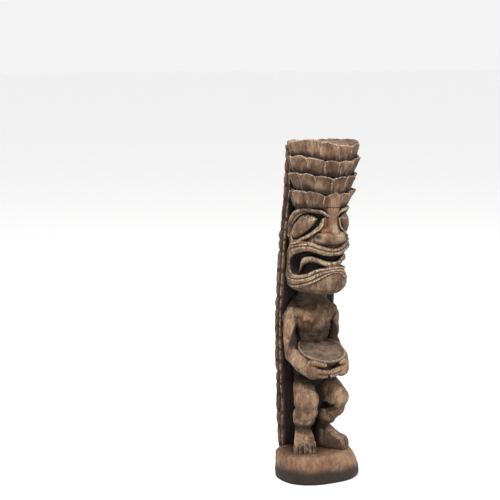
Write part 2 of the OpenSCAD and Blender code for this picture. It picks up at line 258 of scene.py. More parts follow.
def net(field, low, step):
    """Points and quads of the surface where the field is zero."""
    inside = field < 0
    count = sum(window(inside, c).astype(np.int8) for c in CORNERS)
    mixed = (count > 0) & (count < 8)
    cells = np.argwhere(mixed)
    number = np.full(mixed.shape, -1, np.int64)
    number[mixed] = np.arange(len(cells))
    values = {c: window(field, c)[mixed] for c in CORNERS}
    total = np.zeros((len(cells), 3))
    crossings = np.zeros(len(cells))
    for a, b in EDGES:
        va, vb = values[a], values[b]
        crossed = (va < 0) != (vb < 0)
        t = va[crossed] / (va[crossed] - vb[crossed])
        total[crossed] += np.array(a) + t[:, None] * (np.array(b) - np.array(a))
        crossings[crossed] += 1
    points = low + (cells + total / crossings[:, None]) * step
    quads = []
    for axis in range(3):
        u, v = (axis + 1) % 3, (axis + 2) % 3
        ahead = [slice(1, -1)] * 3
        ahead[axis] = slice(0, -1)
        beyond = list(ahead)
        beyond[axis] = slice(1, None)
        leaves = inside[tuple(ahead)] & ~inside[tuple(beyond)]
        enters = ~inside[tuple(ahead)] & inside[tuple(beyond)]
        for found, order in ((leaves, (0, 1, 2, 3)), (enters, (3, 2, 1, 0))):
            at = np.argwhere(found)
            at[:, u] += 1
            at[:, v] += 1
            ring = []
            for du, dv in ((-1, -1), (0, -1), (0, 0), (-1, 0)):
                cell = at.copy()
                cell[:, u] += du
                cell[:, v] += dv
                ring.append(number[cell[:, 0], cell[:, 1], cell[:, 2]])
            ring = np.array(ring).T[:, order]
            quads.append(ring[(ring >= 0).all(1)])
    return points, np.vstack(quads)


def spread(values, links, times):
    """Averages values over a mesh's neighbours, several times."""
    a, b = links
    n = len(values)
    share = 1.0 / np.maximum(np.bincount(a, minlength=n) + np.bincount(b, minlength=n), 1)
    for _ in range(times):
        columns = []
        for column in values.T:
            columns.append((np.bincount(a, column[b], n) + np.bincount(b, column[a], n)) * share)
        values = 0.5 * values + 0.5 * np.array(columns).T
    return values


def point_normals(points, quads):
    p = points[quads]
    face = np.cross(p[:, 2] - p[:, 0], p[:, 3] - p[:, 1])
    out = np.zeros_like(points)
    for axis in range(3):
        for corner in range(4):
            out[:, axis] += np.bincount(quads[:, corner], face[:, axis], len(points))
    return out / np.maximum(np.linalg.norm(out, axis=1), 1e-9)[:, None]


# The mesh, and the map of stain and painted shade, of each piece, kept for finish_piece
CARVED = []


def touching(inside):
    """Blocks with a neighbour on the other side of the surface."""
    mixed = np.zeros(inside.shape, bool)
    for axis in range(3):
        a = [slice(None)] * 3
        b = [slice(None)] * 3
        a[axis], b[axis] = slice(0, -1), slice(1, None)
        change = inside[tuple(a)] != inside[tuple(b)]
        mixed[tuple(a)] |= change
        mixed[tuple(b)] |= change
    return mixed


def carve(node, sculpt, step, stain_and_shade):
    """Sculpts a node's piece on a grid round its CAD box, and keeps its mesh for finishing."""
    low, high = box_mm(node)
    low, high = low - MARGIN, high + MARGIN
    blocks = np.ceil((high - low) / (step * BLOCK)).astype(int)
    at = np.indices(blocks).reshape(3, -1).T
    middle = low + (at * BLOCK + 0.5 * (BLOCK - 1)) * step
    rough = Clay(middle.astype(np.float32))
    sculpt(rough)
    active = (np.abs(rough.d) < 5.0 * step + 1.0) | touching((rough.d < 0).reshape(blocks)).ravel()
    field = np.where(rough.d < 0, -FAR, FAR).astype(np.float32).reshape(blocks)
    for axis in range(3):
        field = np.repeat(field, BLOCK, axis)
    inner = np.indices((BLOCK,) * 3).reshape(3, -1).T
    index = (at[active][:, None, :] * BLOCK + inner[None]).reshape(-1, 3)
    fine = Clay((low + index * step).astype(np.float32))
    sculpt(fine)
    field[index[:, 0], index[:, 1], index[:, 2]] = fine.d
    points, quads = net(field, low, step)
    links = np.vstack([quads[:, [0, 1]], quads[:, [1, 2]], quads[:, [2, 3]], quads[:, [3, 0]]])
    links = np.unique(np.sort(links, axis=1), axis=0).T
    points = spread(points, links, 1)
    inside = np.argwhere(field[::2, ::2, ::2] < 0) * 2 * step + low
    CARVED.append({"name": node, "points": points, "quads": quads, "links": links, "step": step,
                   "inside": inside, "stain_and_shade": stain_and_shade})


# ---------------- head

# Height above the jaw, half width, depth in front of and behind the head's middle line
HEAD_SECTIONS = np.array([
    (-8, 44, 54, 86), (-2, 51, 62, 90), (5, 57, 68, 92), (23, 60, 70, 92), (48, 58, 66, 80),
    (78, 59, 62, 76), (103, 60, 55, 76), (128, 60, 51, 76), (153, 60, 52, 76), (171, 60, 55, 72),
])
FACE_POWER = 1.75

# Outlines and lines of the right half of the face: degrees from straight ahead, mm above the jaw
SOCKET = [(13, 151), (22, 157), (38, 159), (52, 161), (67, 158), (77, 152), (90, 142), (101, 131),
          (107, 119), (104, 108), (95, 101), (84, 101), (72, 106), (60, 113), (48, 120), (38, 127),
          (30, 133), (25, 140), (21, 147)]
EYEBALL = [(31, 147), (37, 151), (46, 155.5), (57, 157.5), (68, 155), (78, 149), (88, 140),
           (97, 129), (102, 118), (100, 108), (92, 103), (81, 105.5), (71, 111.5), (63, 117),
           (53, 124.5), (43, 132.5)]
BROW = [(13, 154), (19, 159), (28, 163), (38, 165), (51, 167.5), (63, 166.5), (75, 163), (85, 157),
        (94, 148), (102, 138), (108, 128), (111, 118), (111, 108)]
LID = [(21, 147), (22, 137), (28, 128), (38, 121), (48, 115), (60, 108), (71, 102), (82, 97), (94, 96)]
MOUTH = [(-10, 74), (9, 74), (22, 76.5), (37, 80.5), (49, 82.5), (62, 82), (76, 78), (89, 72), (100, 65),
         (108, 57), (110, 50), (106, 42), (96, 35), (84, 31.5), (72, 31), (60, 34), (50, 37), (38, 44),
         (27, 48), (14, 50), (-10, 50)]
LIPS = [(-12, 89), (9, 90.5), (28, 96), (40, 100), (50, 102), (64, 102), (80, 100), (96, 95), (112, 86),
        (124, 72), (128, 50), (126, 20), (117, 0), (98, -3), (73, 2), (54, 10), (36, 20), (23, 28),
        (15, 34), (6, 38), (-12, 39)]
TONGUE = [(88, 36), (80, 47), (73, 57), (62, 63), (50, 65), (38, 64.5), (27, 61), (15, 57), (0, 54.5)]


def sections_at(sections, height):
    """The columns of a table of sections at given heights, which are its first column."""
    return (np.interp(height, sections[:, 0], column) for column in sections[:, 1:].T)


def face_radius(angle, height):
    """Distance of the plain face from the head's middle line; angle is from straight ahead."""
    half, front, back = sections_at(HEAD_SECTIONS, height)
    ahead = np.cos(angle)
    depth = np.where(ahead > 0, front, back)
    return 1 / oval(np.sin(angle) / half, ahead / depth, FACE_POWER)


def face(degrees, height, out=0.0):
    """A point on the face: degrees from straight ahead, mm above the jaw, mm outwards."""
    angle = math.radians(degrees)
    r = float(face_radius(angle, height)) + out
    return np.array([r * math.sin(angle), HEAD_Y - r * math.cos(angle), JAW + height])


def nearest_on(path, widths, u, v):
    """Distance from points (u, v) to a line, and the line's width where it is nearest."""
    best, width = np.full(u.shape, 1e3, np.float32), np.full(u.shape, widths[0], np.float32)
    for a, b, wa, wb in zip(path, path[1:], widths, widths[1:]):
        ab = b - a
        h = np.clip(((u - a[0]) * ab[0] + (v - a[1]) * ab[1]) / max(ab @ ab, 1e-6), 0, 1)
        there = np.hypot(u - a[0] - h * ab[0], v - a[1] - h * ab[1])
        width = np.where(there < best, wa + (wb - wa) * h, width)
        best = np.minimum(best, there)
    return best, width


def ridge(marks, widths, u, v):
    """A half-round ridge along marks on the face: 1 on its crest, 0 beyond its width."""
    marks = [(m[0], m[1], 0) for m in marks]
    widths = np.interp(np.linspace(0, 1, len(marks)), np.linspace(0, 1, len(widths)), widths)
    path, widths = curved(marks, widths, 3)
    distance, width = nearest_on(path[:, :2], widths, u, v)
    return np.sqrt(np.clip(1 - (distance / width) ** 2, 0, 1))


def inside_by(outline, u, v):
    """How far points (u, v) lie inside a closed outline, negative outside."""
    closed = np.array(list(outline) + [outline[0]], np.float32)
    distance, _ = nearest_on(closed, np.ones(len(closed)), u, v)
    within = np.zeros(u.shape, bool)
    for a, b in zip(closed, closed[1:]):
        if a[1] != b[1]:
            crosses = (a[1] > v) != (b[1] > v)
            within ^= crosses & (u < a[0] + (v - a[1]) * (b[0] - a[0]) / (b[1] - a[1]))
    return np.where(within, distance, -distance)


def lip_relief(u, v, into_mouth):
    """Thick lips round the mouth: two ridges above it, three below, with narrow grooves between."""
    from_mouth = np.maximum(-into_mouth, 0)
    from_edge = np.maximum(inside_by(LIPS, u, v), 0)
    width = from_mouth + from_edge + 0.01
    share = from_mouth / width
    lower = smoothstep(66, 52, v)
    relief = (3.4 + 2.8 * np.sin(np.pi * share)) * smoothstep(0, 2.4, from_edge)
    for place, strength in ((0.27, lower), (0.68, lower), (0.5, 1 - lower)):
        relief -= 3.0 * strength * np.exp(-((share - place) * width / 1.7) ** 2)
    return relief * (from_edge > 0) * smoothstep(2.0, 0, into_mouth)


def face_place(x, y, z):
    """Degrees from straight ahead and mm above the jaw, with the small wander of a hand carving."""
    u = np.abs(np.degrees(np.arctan2(x, HEAD_Y - y))) + 1.2 * noise(x, y, z, 22, 1)
    v = z - JAW + 1.2 * noise(x, y, z, 24, 2)
    # On the figure's left side the lower lips stay higher, over a fuller chin
    return u, v - 12 * smoothstep(22, 58, u) * smoothstep(60, 38, v) * smoothstep(0, 12, x)


def tongue_ridge(u, v):
    return ridge(TONGUE, [5, 7.5, 8.4, 8, 7, 6.2], u, v)


def face_relief(x, y, z):
    """Height of the carving above the plain face, before the nose and tongue."""
    u, v = face_place(x, y, z)
    relief = -10 * smoothstep(0, 3, inside_by(SOCKET, u, v))
    ball_edge = np.clip(inside_by(EYEBALL, u, v) / 19, 0, 1)
    relief += 15.5 * np.sqrt(1 - (1 - ball_edge) ** 2)
    into_mouth = inside_by(MOUTH, u, v)
    depth = 18 - 8 * smoothstep(-15, 30, x)
    relief -= depth * smoothstep(0, 4, into_mouth)
    flatter = 0.4 * smoothstep(20, 45, x) * smoothstep(60, 45, v)
    relief += lip_relief(u, v, into_mouth) * (1 - flatter)
    reach = (depth - 2.5 - 8 * smoothstep(66, 88, u)) * tongue_ridge(u, v) ** 0.7
    relief = np.where(into_mouth > 0, np.maximum(relief, reach - depth), relief)
    relief += 5.5 * ridge(BROW, [3, 4.6, 5.2, 5.2, 4.4, 3.6], u, v)
    relief += 4.0 * ridge(LID, [2.6, 3.4, 3.4, 3.0], u, v)
    # Hollow under the lid and beside the nose, and the dip between forehead and brow
    relief -= 7.5 * bell(u, 31, 11) * bell(v, 112, 9)
    relief -= 5 * bell(u, 58, 16) * bell(v, 102 - 0.5 * (u - 58), 4)
    brow_line = np.interp(u, [m[0] for m in BROW[:-1]], [m[1] for m in BROW[:-1]])
    relief -= 8.0 * smoothstep(3, 10, v - brow_line) * smoothstep(50, 92, u)
    relief -= 4.0 * smoothstep(2, 8, v - brow_line) * smoothstep(14, 24, u)
    # The lower lips are cut back on the figure's left side
    relief -= 9.0 * bell(v, 28, 17) * smoothstep(8, 38, x)
    return relief.astype(np.float32)


def head_blank(c):
    angle = np.arctan2(c.x, HEAD_Y - c.y)
    r = np.hypot(c.x, c.y - HEAD_Y)
    plain = (r - face_radius(angle, c.z - JAW)).astype(np.float32)
    near = np.flatnonzero(np.abs(plain) < 24)
    plain[near] -= face_relief(c.x[near], c.y[near], c.z[near])
    c.d = plain * 0.85


def nose(c):
    bridge = [face(0, height, out) for height, out in ((180, 0), (168, 0), (152, 2), (138, 3), (122, 4))]
    c.add(stroke(bridge, [14, 13, 9, 8.5, 12]), 6)
    for degrees in (-16, 16):
        c.add(stroke([face(0, 124), face(degrees, 116, -3)], [11, 9]), 4)
    tip = face(0, 108.5, 1)
    bulb = [tip + step for step in ((-24, 9, -1), (-14, 1, 0), (0, -3, 0), (14, 1, 0), (24, 9, -1))]
    c.add(stroke(bulb, [11.5, 12.6, 13.2, 12.6, 11.5]), 1.5)


def head(c):
    head_blank(c)
    nose(c)
    c.gouge(0.8, (15, 15, 20), 3, 0.3, (4, 4, 12), 4)
    # The jaw hangs a little lower in front of the neck, and rises to the figure's left
    clear = smoothstep(37, 47, np.hypot(c.x, c.y - 8))
    sag = 6 * clear * smoothstep(26, 5, c.y) * smoothstep(55, 10, c.x)
    sag = sag - 10 * clear * smoothstep(5, 50, c.x)
    c.keep(JAW - sag - c.z, 4)
    c.keep(np.maximum(c.z - CROWN, c.y - BOARD_FACE))


def head_shade(x, y, z):
    u, v = face_place(x, y, z)
    # Painted shade inside the mouth past the tongue, on the back of the head towards the board, on the
    # chin, under the nose and in the sunk carving
    tongue = smoothstep(0.3, 0.75, tongue_ridge(u, v)) * (1 - 0.75 * smoothstep(62, 92, u))
    mouth = smoothstep(-0.6, 1.2, inside_by(MOUTH, u, v)) * (1 - tongue)
    back = 0.7 * smoothstep(0, 26, y)
    chin = 0.22 * smoothstep(1, -3, inside_by(LIPS, u, v)) * smoothstep(45, 35, v)
    under_nose = 0.35 * bell(u, 12, 30) * bell(v, 90, 9)
    sunk = 0.95 * smoothstep(-3.0, -8, face_relief(x, y, z)) * (1 - tongue)
    return np.maximum.reduce([mouth, back, chin, under_nose, sunk])


# ---------------- headdress

FLUTES = 12
# Place in y of the line that the tiers are laid out round
TIER_MIDDLE = -16.0
# Greatest half width, reach to the front, width of the foot as a share of the rim's,
# turn of the flutes in degrees, and seed of each tier
TIERS = {1: (77, 86, 0.87, -3.5, 101), 2: (78, 85, 0.80, 3, 102), 3: (74, 80, 0.79, -11.5, 103),
         4: (70, 73, 0.80, 3.5, 104)}
TOP_Z = box_mm("headdress_tier_1")[1][2]
TIER_RIMS = {level: box_mm(f"headdress_tier_{level - 1}")[0][2] for level in (2, 3, 4)}
TIER_RIMS[1] = TOP_Z - 4
# Rim height of the top tier above its sawn top, by degrees from straight ahead
TOP_EDGE = np.array([(-180, 2), (-110, 4), (-88, 4), (-60, 9), (-45, 9), (-17, 3), (0, -3), (40, -6),
                     (62, 1), (90, 3), (180, 2)])
# Rise of the rims of tiers 2, 3 and 4 above their joint planes, by the same angles
RIM_ANGLES = np.array([-180, -110, -75, -55, -20, 5, 40, 70, 180])
RIM_RISE = {2: (0, 3, 6, 6, -4, -6, -3, 3, 0), 3: (0, 3, 5, 5, -1, -3, -1, 1, 0),
            4: (0, 3, 4, 4, -4, -6, 0, 3, 0)}


def rim_rise(level, angle):
    if level not in RIM_RISE:
        return 0 * angle
    return np.interp(np.degrees(angle), RIM_ANGLES, RIM_RISE[level])


def tier_outline(angle, half, front):
    """Radius of a tier's plain outline about its middle."""
    ahead = np.cos(angle)
    depth = np.where(ahead > 0, front + TIER_MIDDLE, 78)
    width = np.where(ahead > 0, half, half * (1 + 0.22 * ahead))
    return 1 / oval(np.sin(angle) / width, ahead / depth, 2.1)


def tier(level):
    """Sculpting, and stain with painted shade, of one flared tier, with hollow flutes that meet in sharp
    cusps.
    """
    half, front, foot_share, turn, seed = TIERS[level]
    foot_z, rim_z = box_mm(f"headdress_tier_{level}")[0][2], TIER_RIMS[level]
    random = np.random.RandomState(seed)
    jitter = random.uniform(-0.15, 0.15, FLUTES + 1)
    tone = random.permutation(np.linspace(0, 1, FLUTES))

    def heights(angle, z):
        """Share of the way from foot to rim, and the height of each, with their waves."""
        low = foot_z + rim_rise(level + 1, angle)
        high = rim_z + rim_rise(level, angle)
        return (z - low) / (high - low), low, high

    def flute(x, y, z):
        """Angle, number of the flute and place across it, from -1 to 1."""
        angle = np.arctan2(x, TIER_MIDDLE - y)
        place = (np.degrees(angle) + 180 - turn) / 360 * FLUTES + 0.09 * noise(x, y, z, 20, seed)
        whole = np.floor(place)
        low, high = (whole + k + jitter[np.mod(whole + k, FLUTES).astype(int)] for k in (0, 1))
        across = np.clip(2 * (place - low) / np.maximum(high - low, 0.3) - 1, -1, 1)
        return angle, np.mod(whole, FLUTES).astype(int), across

    def sculpt(c):
        angle, _, across = flute(c.x, c.y, c.z)
        r = np.hypot(c.x, c.y - TIER_MIDDLE)
        share, low, high = heights(angle, c.z)
        t = np.clip(share, 0, 1.25)
        scale = foot_share + (1 - foot_share) * t ** 1.15
        hollow = 1 - np.abs(across) ** 2.4
        cusps = scale * tier_outline(angle, half, front) + 2.5
        outline = cusps - (1.5 + 5.0 * np.clip(t, 0, 1)) * hollow
        if level == 4:
            outline -= 5 * (1 - t) * np.sin(angle)
        wall = (r - outline) * 0.9
        rim = high - 1.5 + 2.6 * hollow + 1.5 * noise(c.x, c.y, 0 * c.z, 16, seed)
        rounding = 1.6
        if level == 1:
            edge = np.interp(np.degrees(angle), TOP_EDGE[:, 0], TOP_EDGE[:, 1])
            rim = TOP_Z - 7.5 + (edge + 1.5 * hollow) * smoothstep(-18, -8, r - outline)
            rounding = 1.6 + 6 * smoothstep(-55, -80, np.degrees(angle))
        c.d = -soft_min(-wall, -(c.z - rim) * 0.9, rounding).astype(np.float32)
        if level == 4:
            bridge = [(0, -59, foot_z - 3), (0, -61, foot_z + 14), (0, -64, rim_z - 8)]
            c.add(stroke(bridge, [13.5, 13.5, 11]), 6)
        c.gouge(1.0, (13, 13, 24), seed, 0.3, (3.5, 3.5, 18), seed)
        c.keep(low - c.z, 0.3)
        c.keep(c.y - BOARD_FACE)

    def stain_and_shade(x, y, z):
        angle, number, across = flute(x, y, z)
        share, _, _ = heights(angle, z)
        streaks = noise(x, y, z, (5, 5, 60), seed + 7)
        # Painted shade at the foot of each tier, under its flaring rim, with dark streaks
        foot_shade = smoothstep(0.52, 0.08, share + 0.16 * streaks + 0.10 * noise(x, y, z, 9, seed))
        panel = 0.42 * smoothstep(0.45, 1, tone[number]) * smoothstep(1.0, 0.7, np.abs(across))
        drips = 0.3 * smoothstep(0.4, 0.75, streaks) * smoothstep(1.0, 0.5, share)
        if level == 4:
            foot_shade *= 1 - bell(x, 0, 15) * (y < 0) * smoothstep(0, 2, z - foot_z)
            panel = panel + 0.14
        # The ledge on top of the rim is darker
        on_top = 0.3 * smoothstep(0.99, 1.05, share) if level > 1 else 0
        return np.maximum.reduce([0.9 * foot_shade, panel + on_top, drips]) * (y < BOARD_FACE - 1)

    return sculpt, stain_and_shade


# ---------------- board

# Heights and half widths of the back board, as on the CAD board, and the length of a scallop
BOARD_OUTLINE = np.array([(50, 58), (100, 61), (150, 62), (200, 65), (275, 67), (330, 67), (400, 64),
                          (500, 58), (560, 51), (590, 47), (640, 45), (700, 42)])
SCALLOP = 26


def board_half(z):
    """Half width of the back board at a height."""
    return np.interp(z, BOARD_OUTLINE[:, 0], BOARD_OUTLINE[:, 1])


def notch_wave(y, z):
    """1 at the notches between scallops along the board's edges, 0 on the scallops."""
    wander = 0.8 * noise(0 * z + 3 * np.sign(y - 52), 0 * z, z, 60, 5)
    return 1 - np.abs(np.sin(np.pi * ((z - BOARD_FOOT) / SCALLOP + wander)))


def screw_heights():
    """Heights of the middle lines of the board screws, from their CAD mesh."""
    heights = np.sort([v.co.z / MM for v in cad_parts["board_screws"].data.vertices])
    groups = np.split(heights, np.flatnonzero(np.diff(heights) > 20) + 1)
    return [0.5 * (group[0] + group[-1]) for group in groups]


SCREW_HEIGHTS = screw_heights()


def board(c):
    middle = 0.5 * (BOARD_FACE + BOARD_BACK)
    wave = notch_wave(c.y, c.z)
    bite = 1.6 + 1.4 * noise(0 * c.z + np.sign(c.y - middle), 0 * c.z, c.z, 31, 13)
    half = board_half(c.z) - bite * wave ** 3 - 0.8 * wave
    half = half - 1.4 * noise(c.x, c.y, c.z, (9, 9, 13), 14)
    across = np.abs(c.y - middle) / (0.5 * (BOARD_BACK - BOARD_FACE))
    groove = 8.5 * np.clip(1 - across * 1.25, 0, 1) ** 0.8
    side = (np.abs(c.x) - (half - groove)) * 0.85
    slab = np.maximum(BOARD_FACE - c.y, c.y - BOARD_BACK)
    c.d = -soft_min(-side, -slab, 2.0).astype(np.float32)
    c.gouge(1.1, (14, 12, 30), 11, 0.45, (4, 4, 22), 12)
    c.keep(np.maximum(BOARD_FOOT - c.z, c.z - BOARD_TOP), 2)
    # Recesses of the screw heads
    for z in SCREW_HEIGHTS:
        c.remove(np.maximum(np.hypot(c.x, c.z - z) - 4.7, BOARD_BACK - 1.6 - c.y))


def board_shade(x, y, z):
    """Painted shade on the face beside the body, in the groove of each edge and in the notches between
    scallops.
    """
    from_edge = np.abs(x) - board_half(z)
    face_side = smoothstep(BOARD_FACE + 6, BOARD_FACE + 1, y) * smoothstep(-2, -9, from_edge)
    on_edge = smoothstep(-10, -5, from_edge)
    groove = smoothstep(9, 3, np.abs(y - 51.5)) * on_edge
    notch = smoothstep(0.42, 0.75, notch_wave(y, z) + 0.25 * noise(x, y, z, (6, 6, 11), 15)) * on_edge
    return np.maximum.reduce([0.95 * face_side, 0.9 * groove, 0.85 * notch])


# ---------------- body

# Height above the hips, half width and front of the torso
TORSO_SECTIONS = np.array([
    (0, 38, -4), (10, 40, -8), (40, 40, -8), (70, 38, 0), (86, 37, 6), (100, 37, 4), (114, 38, -2),
    (130, 42, -6), (146, 45, -6), (160, 45, -2), (170, 38, 2), (178, 30, -4), (190, 29, -12),
    (206, 30, -16),
])
TORSO_MIDDLE = 22.0


def body_place(side, x, y, z):
    """A place on one side of the body: mm outwards, place in y, and mm above the hips."""
    return side * x, y, HIP + z


def limb(side, points, radii):
    """A stroke through such places."""
    return stroke([body_place(side, *point) for point in points], radii)


def torso(c):
    height = c.z - HIP
    half, front = sections_at(TORSO_SECTIONS, height)
    behind = BOARD_FACE + 6 - TORSO_MIDDLE
    depth = np.where(c.y < TORSO_MIDDLE, TORSO_MIDDLE - front, behind)
    k = oval(c.x / half, (c.y - TORSO_MIDDLE) / depth, 2.3)
    c.d = ((k - 1) * np.minimum(half, depth) * 0.9).astype(np.float32)
    for side in (-1, 1):
        # The figure's left shoulder is higher, and slopes less to the neck
        shoulder, slope = (150, 0) if side < 0 else (153, -6)
        c.add(ball(body_place(side, 17, 4, 144), (18, 14, 15)), 5)
        c.add(ball(body_place(side, 38, 20, shoulder), (19, 18, 15)), 6)
        c.add(limb(side, [(14, 36, 186 + slope), (29, 32, 173 + slope), (42, 28, 158 + slope)],
                   [11, 12, 13]), 6)
        c.cut(limb(side, [(30, -10, 168), (42, 0, 140), (40, 4, 100)], [4, 6, 6]), 5)
    # The upright groove of the chest, and the level one under it
    c.cut(limb(1, [(0, -14, 163), (0, -13, 132)], [3, 2.4]), 4)
    c.cut(limb(1, [(-34, -8, 126), (0, -13, 123), (34, -8, 126)], [6, 6, 6]), 5)
    rough = smoothstep(142, 134, height) * smoothstep(104, 114, height) * smoothstep(-26, -12, c.x)
    rough = rough + 0.8 * smoothstep(170, 180, height)
    c.d += (0.3 + 1.1 * rough) * (scoops(c.x, c.y, c.z, (6, 6, 9), 21) - 0.5)
    c.gouge(2.2, 18, 22, 0.3, (4, 4, 12), 23)
    c.keep(np.maximum(HIP - c.z, c.z - JAW))
    c.keep(c.y - BOARD_FACE)


def torso_shade(x, y, z):
    height = z - HIP
    # Painted shade on the neck under the head, the belly under the chest, the flanks beside the arms and
    # the lower torso behind the bowl
    neck = smoothstep(158, 178, height + 8 * (x < 0))
    belly = smoothstep(132, 116, height) * smoothstep(60, 78, height)
    flank = (smoothstep(26, 38, np.abs(x)) + smoothstep(8, 24, y)) * smoothstep(140, 118, height)
    upper = np.maximum.reduce([0.82 * neck, 0.6 * belly, 0.85 * flank])
    return np.clip(upper + smoothstep(70, 40, height), 0, 0.95)


BOWL_CENTRE = np.array([0.0, -20.0, HIP + 80])
BOWL_TILT = math.radians(20)
BOWL_R = 50.0
BOWL_DEPTH = 46
# Heights from the rim and radii of the bowl's wall
BOWL_WALL = np.array([(-BOWL_DEPTH, 26), (-38, 33), (-20, 40), (-10, 44), (-7, 46.5), (-5, BOWL_R),
                      (2, BOWL_R)])


def bowl_frame(y, z):
    """Height from the tilted rim, negative below it, and distance behind the bowl's middle line."""
    up_y, up_z = -math.sin(BOWL_TILT), math.cos(BOWL_TILT)
    dy, dz = y - BOWL_CENTRE[1], z - BOWL_CENTRE[2]
    return dy * up_y + dz * up_z, dy * up_z - dz * up_y


def bowl_distance(x, y, z, grow=0.0):
    above, behind = bowl_frame(y, z)
    wall = (np.hypot(x, behind) - np.interp(above, BOWL_WALL[:, 0], BOWL_WALL[:, 1])) * 0.9
    return (np.maximum.reduce([wall, above, -BOWL_DEPTH - above]) - grow).astype(np.float32)


def bowl(c):
    """The bowl, with gouged ridges across its nearly flat, raised-edged top."""
    above, behind = bowl_frame(c.y, c.z)
    r = np.hypot(c.x, behind)
    ridges = scoops(c.x + 0.3 * c.y, c.y, 0 * c.z, (19, 12, 9), 33)
    dish = above + 2.6 - 2.6 * smoothstep(BOWL_R - 5, BOWL_R - 2, r) - 2.4 * ridges
    c.d = np.maximum(bowl_distance(c.x, c.y, c.z), dish.astype(np.float32))
    c.gouge(0.9 * smoothstep(-3, -8, above), (13, 11, 9), 31, 0.2, 5, 32)


def bowl_stain_and_shade(x, y, z):
    above, behind = bowl_frame(y, z)
    # Painted shade on the wall under the rim and on the top towards the belly; the cloud is the top's
    # own uneven tone
    cloud = 0.5 + 0.5 * noise(x, y, z, 16, 34)
    top = 0.12 + 0.25 * cloud + 0.3 * smoothstep(-5, 22, behind)
    return 0.65 * smoothstep(-5, -11, above) + smoothstep(-5, -3, above) * top


# Fingers of each hand and the gap between two of them, as points and radii for limb(), and blends
FINGERS = {
    -1: [([(40, -42, 57), (34, -50, 58), (24, -56, 55.5), (15, -59.5, 53)], [6.5, 6, 5.4, 4.8], 1.2),
         ([(38, -44, 43), (28, -53, 41), (17, -57, 39), (7.5, -58.5, 38)], [7.5, 5.6, 5.2, 4.6], 1),
         ([(37, -42, 33), (28, -50, 31.5), (19, -54.5, 30), (10, -55.5, 29.5)], [7, 5, 4.6, 4], 1)],
    1: [([(38, -42, 52), (31, -50, 56), (24, -56, 57)], [9, 7, 6.2], 1.2),
        ([(38, -42, 44), (26, -52, 43), (14, -56.5, 40), (2, -58, 38)], [8, 5.8, 5.4, 4.6], 1),
        ([(37, -40, 33), (26, -49, 32), (14, -54, 31), (3, -55.5, 30)], [7, 5.2, 4.8, 4.2], 1)],
}
FINGER_GAPS = {-1: ([(30, -62, 48.5), (18, -63, 47), (8, -63, 46)], [1.5, 4, 4.4]),
               1: ([(31, -61, 49), (20, -62, 47.5), (12, -63, 48)], [1.4, 1.8, 3])}


def arm(side):
    """The arm of one side, with its hand closed on the bowl."""
    # How much closer to the body and how much lower the upper arm lies
    tuck, drop = (0.0, 3.5) if side < 0 else (3.5, 1.0)

    def sculpt(c):
        c.add(limb(side, [(50 - tuck, 25, 152 - drop), (52 - tuck, 23, 140), (54 - tuck, 20, 112),
                          (53 - tuck, 18, 90), (53 - tuck, 12, 70), (49, -8, 58), (42, -25, 49),
                          (35, -37, 43)], [11, 14, 12.5, 12, 14, 16, 18, 17]))
        c.add(ball(body_place(side, 50 - tuck, 20, 150 - drop), (12, 16, 15)), 5)
        c.add(ball(body_place(side, 33, -43, 36), (15, 13, 13)), 7)
        for points, radii, blend in FINGERS[side]:
            c.add(limb(side, points, radii), blend)
        c.cut(limb(side, *FINGER_GAPS[side]), 1)
        c.remove(bowl_distance(c.x, c.y, c.z, 0.4), 0.5)
        hand = smoothstep(-30, -44, c.y)
        c.gouge(5.0 - 4.2 * hand, (20, 20, 27), 41 + side, 0.3, (4, 4, 14), 43)
        c.keep(c.y - BOARD_FACE + 0.5)

    def stain_and_shade(x, y, z):
        # Painted shade on the inner side of the upper arm, in the armpit and on the side towards the
        # board
        height = z - HIP
        inward = -0.87 * (side * x - 53 + tuck) - 0.5 * (y - 19) + 2.5 * noise(x, y, z, 12, 44)
        bound = np.interp(height, [88, 105, 134], [-5, 0.5, 9])
        upper = smoothstep(76, 88, height) * smoothstep(146, 128, height)
        inner = smoothstep(bound, bound + 3, inward) * upper
        armpit = smoothstep(6, 10, inward) * smoothstep(125, 140, height)
        return np.clip(np.maximum(0.85 * inner, 0.8 * armpit) + 0.8 * smoothstep(20, 32, y), 0, 0.95)

    return sculpt, stain_and_shade


